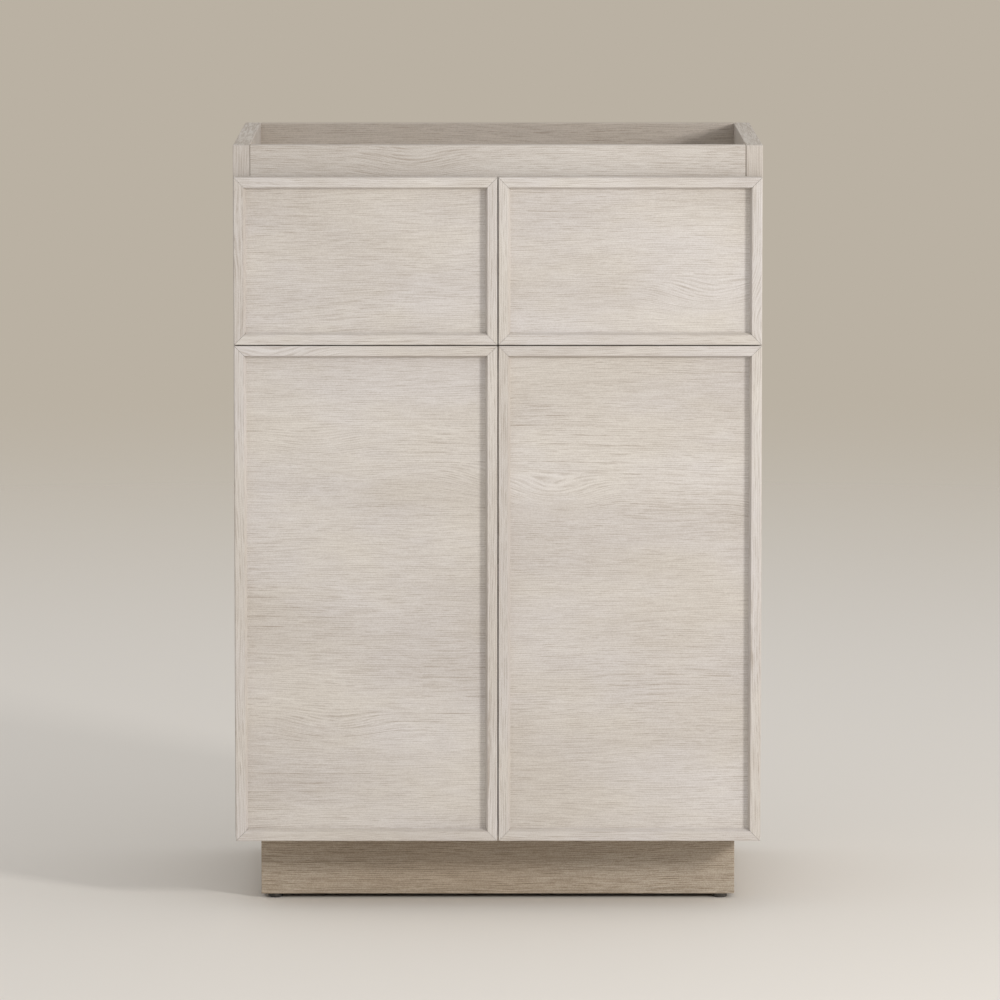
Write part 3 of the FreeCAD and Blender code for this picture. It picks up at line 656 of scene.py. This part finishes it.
hands = ("left", "right")
screw_radius = 0.0017
screw_head_radius = 0.0034
screw_head_height = 0.0018
screw_head_shares = ((0.0, 1.0), (0.45, 0.97), (0.75, 0.82), (0.93, 0.5), (1.0, 0.15), (0.97, 0.0))
screw_shank_share = 0.75
screw_cross = (0.0019, 0.0005, 0.0012)
screw_finish = ((208, 206, 200), (170, 168, 164), 0.30, (900.0, 900.0, 900.0))
screw_zinc = plated_metal("screw_zinc", *screw_finish)


def screw_shape(length):
    """A pan-head screw that stands on z = 0, with its shank below and a cross recess in its head."""
    profile = [(screw_head_radius * across, screw_head_height * up) for across, up in screw_head_shares]
    profile += [(screw_radius, 0.0), (screw_radius, -length * screw_shank_share), (0.0, -length)]
    cutter = cross_cutter(*screw_cross)
    bmesh.ops.translate(cutter, verts=cutter.verts, vec=(0, 0, screw_head_height))
    return carved(turned(profile, steps=28), cutter)


def screw_group(name, piece_name, body, axis, spin):
    """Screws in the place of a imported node's; axis points out of their heads.

    Without an axis the heads face the middle of the unit. Spin turns each recess on from the last one's.
    """
    group = bmesh.new()
    for number, (low, high) in enumerate(solid_boxes(name)):
        middle = (low + high) / 2
        out = Vector(axis or (-math.copysign(1, middle.x), 0, 0))
        reach = abs((high - low).dot(out))
        seat = middle + out * (reach / 2 - screw_head_height)
        turn = Matrix.Rotation(spin * (number + 1), 4, "Z")
        put(group, screw_shape(reach - screw_head_height), pointing(out, seat) @ turn)
    new_piece(piece_name, group, screw_zinc, body, "screw_steel", name)


screw_group("hinge_plate_screws", "hinge_plate_screw_set", "carcass", None, 0.7)
screw_group("latch_screws", "latch_screw_set", "carcass", (0, 0, -1), 0.5)
for hand in hands:
    screw_group(hand + "_door_cup_screws", hand + "_cup_screw_set", hand + "_door", (0, 1, 0), 0.9)
    screw_group(hand + "_drawer_front_screws", hand + "_front_screw_set", hand + "_drawer", (0, 1, 0), 1.1)


# Hinge cups: deep-drawn steel with a nickel finish, let into the back of each door and screwed there by
# a wing. A pin staked across the cup carries the arm.

cup_rim_radius = 0.0184
cup_rim_roll = 0.0005
cup_wall_radius = 0.0172
cup_wall = 0.0006
cup_corner = 0.0026
cup_inner_knuckle = 0.0009
cup_outer_knuckle = 0.0006
cup_lip_steps = (0.0002, 0.0008)
cup_wing_offset = 0.0095
cup_wing_corner = 0.0048
cup_wing_inset = 0.0001
cup_wing_roll = 0.0003
cup_bore_play = 0.0004
hinge_pin_radius = 0.0012
hinge_pin_setback = 0.0135
hinge_pin_depth = 0.0095
hinge_finish = ((206, 202, 195), (176, 171, 163), 0.26, (1500.0, 90.0, 1500.0))
cut_overrun = 0.01
sharp_angle = math.radians(50)
lined_up = 0.9
to_other_side = Matrix.Scale(-1, 4, (1, 0, 0))
hinge_nickel = plated_metal("hinge_nickel", *hinge_finish)


def slab(low, high, roll, axis=None, corner=0.0, steps=4):
    """A block with rolled edges; the edges along an axis may be rounded first."""
    shape = bmesh.new()
    bmesh.ops.create_cube(shape, size=1.0)
    low, high = Vector(low), Vector(high)
    bmesh.ops.scale(shape, verts=shape.verts, vec=high - low)
    bmesh.ops.translate(shape, verts=shape.verts, vec=(low + high) / 2)
    if axis is not None:
        along = [edge for edge in shape.edges
                 if abs((edge.verts[1].co - edge.verts[0].co).normalized()[axis]) > lined_up]
        bmesh.ops.bevel(shape, geom=along, offset=corner, offset_type="OFFSET", segments=steps, profile=0.5,
                        affect="EDGES", material=-1)
    sharp = [edge for edge in shape.edges if edge.calc_face_angle(0.0) > sharp_angle]
    bmesh.ops.bevel(shape, geom=sharp, offset=roll, offset_type="OFFSET", segments=2, profile=0.5,
                    affect="EDGES", material=-1)
    return shape


def mirrored(group):
    """Adds the other side's copy of each piece in a group."""
    put(group, group.copy(), to_other_side)
    return group


def hinge_cup(low, high, door_back):
    """One cup with its wing and pin; low and high are the corners of the space that it fills."""
    depth = door_back - low.y
    proud = high.y - door_back
    floor = cup_wall - depth
    inner = cup_wall_radius - cup_wall
    profile = (
        (0.0, floor), (inner * 0.78, floor), (inner * 0.93, floor + cup_inner_knuckle),
        (inner, floor + cup_corner), (inner, 0.0), (inner + cup_lip_steps[0], proud * 0.75),
        (inner + cup_lip_steps[1], proud), (cup_rim_radius - cup_rim_roll, proud),
        (cup_rim_radius, proud * 0.55), (cup_rim_radius, 0.0), (cup_wall_radius, 0.0),
        (cup_wall_radius, cup_corner - depth), (cup_wall_radius * 0.94, cup_outer_knuckle - depth),
        (cup_wall_radius * 0.8, -depth), (0.0, -depth),
    )
    middle = Vector((high.x - cup_rim_radius, door_back, (low.z + high.z) / 2))
    group = bmesh.new()
    put(group, turned(profile, steps=56), pointing((0, 1, 0), middle))
    wing_end = 2 * (middle.x - cup_wing_offset) - low.x
    wing = slab((low.x, door_back, low.z), (wing_end, high.y - cup_wing_inset, high.z), cup_wing_roll,
                1, cup_wing_corner)
    bore_radius = inner + cup_bore_play
    bore = turned(((0.0, -cut_overrun), (bore_radius, -cut_overrun), (bore_radius, cut_overrun),
                   (0.0, cut_overrun)), steps=56)
    bmesh.ops.transform(bore, matrix=pointing((0, 1, 0), middle), verts=bore.verts)
    put(group, carved(wing, bore))
    reach = math.sqrt(inner ** 2 - hinge_pin_setback ** 2)
    pin_profile = ((0.0, -reach), (hinge_pin_radius, -reach), (hinge_pin_radius, reach), (0.0, reach))
    pin = turned(pin_profile, steps=20)
    put(group, pin, Matrix.Translation(middle + Vector((hinge_pin_setback, -hinge_pin_depth, 0.0))))
    return group


door_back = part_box("right_door_panel")[1][1]
cups = bmesh.new()
for low, high in solid_boxes("right_door_hinge_cups"):
    put(cups, hinge_cup(low, high, door_back))
left_cups = bmesh.new()
put(left_cups, cups, to_other_side)
new_piece("right_door_cups", cups, hinge_nickel, "right_door", "hinge_steel", "right_door_hinge_cups")
new_piece("left_door_cups", left_cups, hinge_nickel, "left_door", "hinge_steel", "left_door_hinge_cups")


# Hinge plates: die-cast crosses with a raised rail, nickel-plated.
# Each is screwed to a side panel through its two wings, and its rail carries the arm.

plate_roll = 0.0004
plate_rail_half = 0.0062
plate_rail_corner = 0.0018
plate_wing_half = 0.007
plate_wing_thickness = 0.0022
plate_wing_corner = 0.0062
plates = bmesh.new()
for low, high in solid_boxes("hinge_plates"):
    if low.x > 0:
        middle = (low + high) / 2
        rail = slab((low.x, low.y, middle.z - plate_rail_half), (high.x, high.y, middle.z + plate_rail_half),
                    plate_roll, 0, plate_rail_corner)
        wing = slab((high.x - plate_wing_thickness, middle.y - plate_wing_half, low.z),
                    (high.x, middle.y + plate_wing_half, high.z), plate_roll, 0, plate_wing_corner, 6)
        put(plates, carved(rail, wing, "UNION"))
new_piece("hinge_plate_castings", mirrored(plates), hinge_nickel, "carcass", "hinge_steel", "hinge_plates")


# Hinge arms: pressed steel channels astride the plates' rails. The neck bends down into the cup and
# ends in a rolled eye round the pin. A side-adjusting screw stands on the arm's back.

arm_wall = 0.002
arm_roll = 0.0002
arm_corner = 0.0012
arm_side_wall = 0.0015
arm_lip = 0.0025
arm_front_gap = 0.0015
arm_lip_setback = 0.0045
arm_bend = 0.0022
arm_eye_half = 0.0035
arm_eye_wall = 0.0009
arm_eye_play = 0.0003
neck_overlap = 0.001
cut_roll = 0.0001
adjuster_profile = ((0.0, 0.0007), (0.0022, 0.0007), (0.0027, 0.0003), (0.0027, 0.0), (0.0, 0.0))
adjuster_cross = (0.0017, 0.00045, 0.0006)
adjuster_setback = 0.016


def grown(shape, face, step):
    """Pushes a face out by a step, with new sides behind it; returns the face at the end."""
    made = bmesh.ops.extrude_face_region(shape, geom=[face])["geom"]
    bmesh.ops.delete(shape, geom=[face], context="FACES_ONLY")
    corners = [part for part in made if isinstance(part, bmesh.types.BMVert)]
    bmesh.ops.translate(shape, verts=corners, vec=step)
    return next(part for part in made if isinstance(part, bmesh.types.BMFace))


def hinge_neck(top, under, front_y, middle_z, pin_x, pin_y):
    """The flat neck that leaves the channel, bends down beside the pin and runs to its eye."""
    neck = bmesh.new()
    start_y = front_y + neck_overlap
    corners = ((top, -arm_eye_half), (under, -arm_eye_half), (under, arm_eye_half), (top, arm_eye_half))
    face = neck.faces.new([neck.verts.new((x, start_y, middle_z + z)) for x, z in corners])
    corner_y = pin_y + arm_wall / 2 + arm_bend
    face = grown(neck, face, (0.0, corner_y - front_y - neck_overlap, 0.0))
    bend = bmesh.ops.spin(neck, geom=[face], cent=(under + arm_bend, corner_y, 0.0), axis=(0, 0, 1),
                          angle=math.pi / 2, steps=6)
    bent = next(part for part in bend["geom_last"] if isinstance(part, bmesh.types.BMFace))
    bmesh.ops.delete(neck, geom=[face], context="FACES_ONLY")
    grown(neck, bent, (pin_x - hinge_pin_radius - arm_eye_wall - under - arm_bend, 0.0, 0.0))
    bmesh.ops.holes_fill(neck, edges=neck.edges)
    bmesh.ops.recalc_face_normals(neck, faces=neck.faces)
    return neck


def hinge_arm(low, high, pin_x, pin_y):
    """One arm; low and high are the corners of the space that it fills."""
    middle_z = (low.z + high.z) / 2
    top = low.x
    under = top + arm_wall
    front_y = door_back + arm_front_gap
    lip_front_y = front_y + arm_lip_setback
    open_y = front_y - cut_overrun
    group = bmesh.new()
    channel = slab((top, front_y, low.z), (under + arm_lip, high.y, high.z), arm_roll, 1, arm_corner)
    trough = slab((under, open_y, low.z + arm_side_wall),
                  (under + cut_overrun, high.y + cut_overrun, high.z - arm_side_wall), cut_roll)
    notch = slab((under, open_y, low.z - cut_overrun),
                 (under + cut_overrun, lip_front_y, high.z + cut_overrun), cut_roll)
    put(group, carved(carved(channel, trough), notch))
    put(group, hinge_neck(top, under, front_y, middle_z, pin_x, pin_y))
    bore = hinge_pin_radius + arm_eye_play
    outer = hinge_pin_radius + arm_eye_play + arm_eye_wall
    eye = ((bore, -arm_eye_half), (outer, -arm_eye_half), (outer, arm_eye_half), (bore, arm_eye_half),
           (bore, -arm_eye_half))
    put(group, turned(eye, steps=24), Matrix.Translation((pin_x, pin_y, middle_z)))
    adjuster = carved(turned(adjuster_profile, steps=24), cross_cutter(*adjuster_cross))
    put(group, adjuster, pointing((-1, 0, 0), (top, front_y + adjuster_setback, middle_z)))
    return group


pin_x = solid_boxes("right_door_hinge_cups")[0][1].x - cup_rim_radius + hinge_pin_setback
arms = bmesh.new()
for low, high in solid_boxes("hinge_arms"):
    if low.x > 0:
        put(arms, hinge_arm(low, high, pin_x, door_back - hinge_pin_depth))
new_piece("hinge_arm_pressings", mirrored(arms), hinge_nickel, "carcass", "hinge_steel", "hinge_arms")


# Drawer slides: three nested lengths of cold-rolled channel on each side of a drawer, zinc-plated.
# Each web has a shallow rib rolled along it, and the middle members have slots punched through.

slide_wall = 0.0012
slide_corner = 0.0016
slide_corner_steps = 4
slide_rib_half = 0.005
slide_rib_depth = 0.00025
slide_rib_flank = 0.001
slot_half = 0.0022
slot_reach = 0.0045
slot_corner = slot_half * 0.95
slot_cut = 0.003
slot_shares = (0.14, 0.5, 0.86)
side_panel_zone = 0.14
slide_finish = ((199, 202, 206), (164, 169, 176), 0.34, (1700.0, 40.0, 1700.0))
slide_zinc = plated_metal("slide_zinc", *slide_finish)


def rolled_channel(low, high, web_at_high):
    """A channel along Y that fills a space; its web is at the side of higher or lower x."""
    half = (high.z - low.z) / 2 - slide_wall / 2
    middle_z = (low.z + high.z) / 2
    web_x, tip_x = (high.x, low.x) if web_at_high else (low.x, high.x)
    inward = math.copysign(1, tip_x - web_x)
    line_x = web_x + inward * slide_wall / 2
    upper = [(tip_x, half)]
    for step in range(slide_corner_steps + 1):
        angle = step * math.pi / 2 / slide_corner_steps
        upper.append((line_x + inward * slide_corner * (1 - math.sin(angle)),
                      half - slide_corner * (1 - math.cos(angle))))
    upper += [(line_x, slide_rib_half + slide_rib_flank), (line_x + inward * slide_rib_depth, slide_rib_half)]
    path = upper + [(x, -z) for x, z in reversed(upper)]
    shape = bmesh.new()
    points = [shape.verts.new((x, low.y, middle_z + z)) for x, z in path]
    edges = [shape.edges.new(pair) for pair in zip(points, points[1:])]
    made = bmesh.ops.extrude_edge_only(shape, edges=edges)["geom"]
    ends = [part for part in made if isinstance(part, bmesh.types.BMVert)]
    bmesh.ops.translate(shape, verts=ends, vec=(0.0, high.y - low.y, 0.0))
    bmesh.ops.recalc_face_normals(shape, faces=shape.faces)
    walls = shape.faces[:]
    webs = [face for face in walls if abs(face.normal.x) > lined_up]
    inward_area = sum(face.normal.x * inward * face.calc_area() for face in webs)
    bmesh.ops.solidify(shape, geom=walls, thickness=slide_wall if inward_area > 0 else -slide_wall)
    return shape


def slotted(shape, low, high, web_at_high):
    """The channel with its slots punched through the web."""
    web_x = high.x if web_at_high else low.x
    z = (low.z + high.z) / 2
    for share in slot_shares:
        y = low.y + (high.y - low.y) * share
        slot = slab((web_x - slot_cut, y - slot_reach, z - slot_half),
                    (web_x + slot_cut, y + slot_reach, z + slot_half), cut_roll, 0, slot_corner)
        shape = carved(shape, slot)
    return shape


def slide_group(name, piece_name, body, web_outside, with_slots=False):
    """The members of one node; web_outside is true where the webs lie towards the carcass."""
    group = bmesh.new()
    for low, high in solid_boxes(name):
        at_side_panel = abs(low.x + high.x) / 2 > side_panel_zone
        away_from_middle = at_side_panel == web_outside
        web_at_high = away_from_middle == (low.x > 0)
        shape = rolled_channel(low, high, web_at_high)
        put(group, slotted(shape, low, high, web_at_high) if with_slots else shape)
    new_piece(piece_name, group, slide_zinc, body, "slide_steel", name)


slide_group("slide_cabinet_members", "slide_cabinet_channels", "carcass", True)
for hand in hands:
    slide_group(hand + "_slide_middle_members", hand + "_slide_middle_channels", hand + "_slide_middle",
                True, with_slots=True)
    slide_group(hand + "_slide_drawer_members", hand + "_slide_drawer_channels", hand + "_drawer", False)


# Strikes: zinc-plated steel discs, each turned in one piece with a pin.
# The pin is pressed into the back of the door where the plunger meets it.

strike_radius = 0.008
strike_pin_radius = 0.0017
strike_profile = (
    (0.0, 0.0010), (0.0066, 0.0010), (0.0076, 0.0006), (strike_radius, 0.0001), (strike_radius, 0.0),
    (strike_pin_radius, 0.0), (strike_pin_radius, -0.007), (0.0, -0.008),
)
for hand in hands:
    low, high = solid_boxes(hand + "_door_strike")[0]
    middle = (low + high) / 2
    strike = bmesh.new()
    put(strike, turned(strike_profile, steps=48), pointing((0, 1, 0), (middle.x, door_back, middle.z)))
    new_piece(hand + "_strike_disc", strike, screw_zinc, hand + "_door", "screw_steel",
              hand + "_door_strike")


# Push latches: grey plastic housings under the middle rail with a sprung white plunger each.
# The plunger's nose is domed, with a groove behind it.

housing_finish = ((196, 195, 190), (182, 180, 175), 0.42)
housing_roll = 0.0005
housing_sharp_angle = math.radians(40)
plunger_finish = ((222, 221, 216), (206, 204, 198), 0.36)
plunger_nose_shares = (
    (0.0, 0.0), (0.45, 0.0), (0.72, 0.06), (0.9, 0.18), (1.0, 0.4), (1.0, 0.62), (0.86, 0.7), (0.86, 0.85),
    (1.0, 0.93),
)
plunger_nose = 0.006


def rolled_edges(name, width):
    """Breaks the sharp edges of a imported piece, as moulding leaves them."""
    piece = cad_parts[name]
    weld = piece.modifiers.new("weld", "WELD")
    weld.merge_threshold = merge_distance
    roll = piece.modifiers.new("roll", "BEVEL")
    roll.width = width
    roll.segments = 2
    roll.limit_method = "ANGLE"
    roll.angle_limit = housing_sharp_angle


dress("latch_housings", moulded_plastic("latch_housing_plastic", *housing_finish))
rolled_edges("latch_housings", housing_roll)
for hand in hands:
    low, high = solid_boxes(hand + "_latch_plunger")[0]
    middle = (low + high) / 2
    radius = (high.x - low.x) / 2
    length = high.y - low.y
    profile = [(radius * across, plunger_nose * along) for across, along in plunger_nose_shares]
    profile += [(radius, length), (0.0, length)]
    plunger = bmesh.new()
    put(plunger, turned(profile, steps=40), pointing((0, 1, 0), (middle.x, low.y, middle.z)))
    plunger_plastic = moulded_plastic(hand + "_plunger_plastic", *plunger_finish)
    new_piece(hand + "_plunger_pin", plunger, plunger_plastic, hand + "_plunger", "plunger_plastic",
              hand + "_latch_plunger")


# Doors and drawer fronts: a laminated board with a mitred frame glued on its face.
# The grain runs across on the board and the rails and stands upright on the stiles.

front_first_number = 20
front_parts = [(hand, kind, part) for hand in hands for kind in ("door", "drawer")
               for part in ("panel", "stiles", "rails")]
for number, (hand, kind, part) in enumerate(front_parts, start=front_first_number):
    board = f"{hand}_{kind}_{part}"
    dress(board, whitewashed_wood(board + "_laminate", "Z" if part == "stiles" else "X", number))


# Drawer boxes: birch plywood with a clear finish, rebated and glued at the corners.
# The layers of the plywood show on the top edges.

ply_layer = 0.0014
ply_layer_band = (ply_layer * 0.42, ply_layer * 0.58)
ply_facing = 0.6
ply_face_pale = (230, 214, 186)
ply_face_dark = (206, 182, 144)
ply_edge_pale = (222, 196, 152)
ply_edge_dark = (164, 122, 78)
ply_roughness = 0.42
ply_relief = (0.25, 0.00012)
ply_drift_cells = (2.0, 9.0, 9.0)
ply_drift_share = 0.35
ply_figure_cells = (5.0, 120.0, 120.0)
ply_figure_share = 0.55
ply_fleck_cells = (90.0, 800.0, 800.0)
ply_fleck_band = (0.62, 0.78)
ply_fleck_share = 0.2
ply_first_number = 40


def birch_plywood(name, grain, thickness, piece_number):
    """Birch plywood: fine rotary-cut figure on the faces, light and dark layers on the edges."""
    material, tree, shader = new_finish(name)
    place = grain_place(tree, grain, piece_number)
    drift = math_node(tree, "MULTIPLY", noise(tree, place, ply_drift_cells, 3.0), ply_drift_share)
    figure = noise(tree, place, ply_figure_cells, 4.0, 0.6)
    flecks = band(tree, noise(tree, place, ply_fleck_cells, 1.0), *ply_fleck_band)
    share = math_node(tree, "MULTIPLY_ADD", figure, ply_figure_share, drift)
    share = math_node(tree, "MULTIPLY_ADD", flecks, ply_fleck_share, share)
    face = blend_colours(tree, share, tint(*ply_face_pale), tint(*ply_face_dark))
    deep = node(tree, "SeparateXYZ", {0: object_place(tree)}).outputs[thickness]
    layer = band(tree, math_node(tree, "PINGPONG", deep, ply_layer), *ply_layer_band)
    edge = blend_colours(tree, layer, tint(*ply_edge_pale), tint(*ply_edge_dark))
    colour = blend_colours(tree, faces_along(tree, thickness, ply_facing), edge, face)
    set_surface(tree, shader, colour, ply_roughness, figure, *ply_relief)
    return material


for hand_number, hand in enumerate(hands):
    number = ply_first_number + 3 * hand_number
    dress(hand + "_drawer_box_sides", birch_plywood(hand + "_side_plywood", "Y", "X", number))
    dress(hand + "_drawer_box_ends", birch_plywood(hand + "_end_plywood", "X", "Y", number + 1))
    dress(hand + "_drawer_box_bottom", birch_plywood(hand + "_bottom_plywood", "X", "Z", number + 2))


# Floor, light and camera: a plain pale floor that fades into a plain backdrop, a soft lamp low on the
# front right, and an even sky.

floor_half = 30.0
floor_colour = (222, 217, 210)
floor_roughness = 0.7
floor_near = 1.4
floor_far = 6.0
backdrop_colour = (186, 177, 163)
sky_colour = (1.0, 1.0, 1.0, 1.0)
sky_level = 0.80
key_direction = Vector((0.97, -1.0, 0.42)).normalized()
key_distance = 4.2
key_size = 0.6
key_level = 0.5
key_colour = (1.0, 0.985, 0.965)
camera_sensor = 36.0
camera_lens = 264.73
camera_near = 0.1
camera_far = 200.0
camera_place = Vector((-0.0096, -8.5176, 1.3888))
camera_target = Vector((0.0024, -0.2035, 0.4661))


def turned_along(direction):
    """The turn that points a lamp or a camera along a direction."""
    return direction.to_track_quat("-Z", "Y").to_euler()


floor_mesh = bmesh.new()
bmesh.ops.create_grid(floor_mesh, x_segments=1, y_segments=1, size=floor_half)
floor = bpy.data.objects.new("floor", bpy.data.meshes.new("floor"))
floor_mesh.to_mesh(floor.data)
floor_mesh.free()
bpy.context.scene.collection.objects.link(floor)
floor_paint, tree, shader = new_finish("floor_paint")
shader.inputs["Base Color"].default_value = tint(*floor_colour)
shader.inputs["Roughness"].default_value = floor_roughness
floor_reach = node(tree, "VectorMath", {0: object_place(tree)}, operation="LENGTH").outputs["Value"]
clear = node(tree, "BsdfTransparent", {})
fade = node(tree, "MixShader", {0: band(tree, floor_reach, floor_near, floor_far), 1: shader.outputs[0],
                                2: clear.outputs[0]})
tree.links.new(fade.outputs[0], tree.nodes["Material Output"].inputs["Surface"])
floor.data.materials.append(floor_paint)

world = bpy.data.worlds.new("soft_sky")
bpy.context.scene.world = world
world.use_nodes = True
tree = world.node_tree
sky = tree.nodes["Background"]
set_inputs(tree, sky, {"Color": sky_colour, "Strength": sky_level})
pale = node(tree, "Background", {"Color": tint(*backdrop_colour), "Strength": 1.0})
rays = node(tree, "LightPath", {})
seen = math_node(tree, "MAXIMUM", rays.outputs["Is Camera Ray"], rays.outputs["Is Glossy Ray"])
seen = math_node(tree, "MAXIMUM", seen, rays.outputs["Is Transmission Ray"])
both = node(tree, "MixShader", {0: seen, 1: sky.outputs[0], 2: pale.outputs[0]})
tree.links.new(both.outputs[0], tree.nodes["World Output"].inputs["Surface"])

lamp = bpy.data.lights.new("key_lamp", "AREA")
lamp.shape = "SQUARE"
lamp.size = key_size
lamp.energy = key_level * math.pi * math.pi * key_distance ** 2
lamp.color = key_colour
key = bpy.data.objects.new("key_lamp", lamp)
bpy.context.scene.collection.objects.link(key)
key.location = (cad_box[0] + cad_box[1]) / 2 + key_direction * key_distance
key.rotation_euler = turned_along(-key_direction)

camera_data = bpy.data.cameras.new("camera")
camera_data.sensor_width = camera_sensor
camera_data.lens = camera_lens
camera_data.clip_start = camera_near
camera_data.clip_end = camera_far
camera = bpy.data.objects.new("camera", camera_data)
bpy.context.scene.collection.objects.link(camera)
camera.location = camera_place
camera.rotation_euler = turned_along(camera_target - camera_place)
bpy.context.scene.camera = camera

bpy.context.scene.view_settings.view_transform = "Standard"
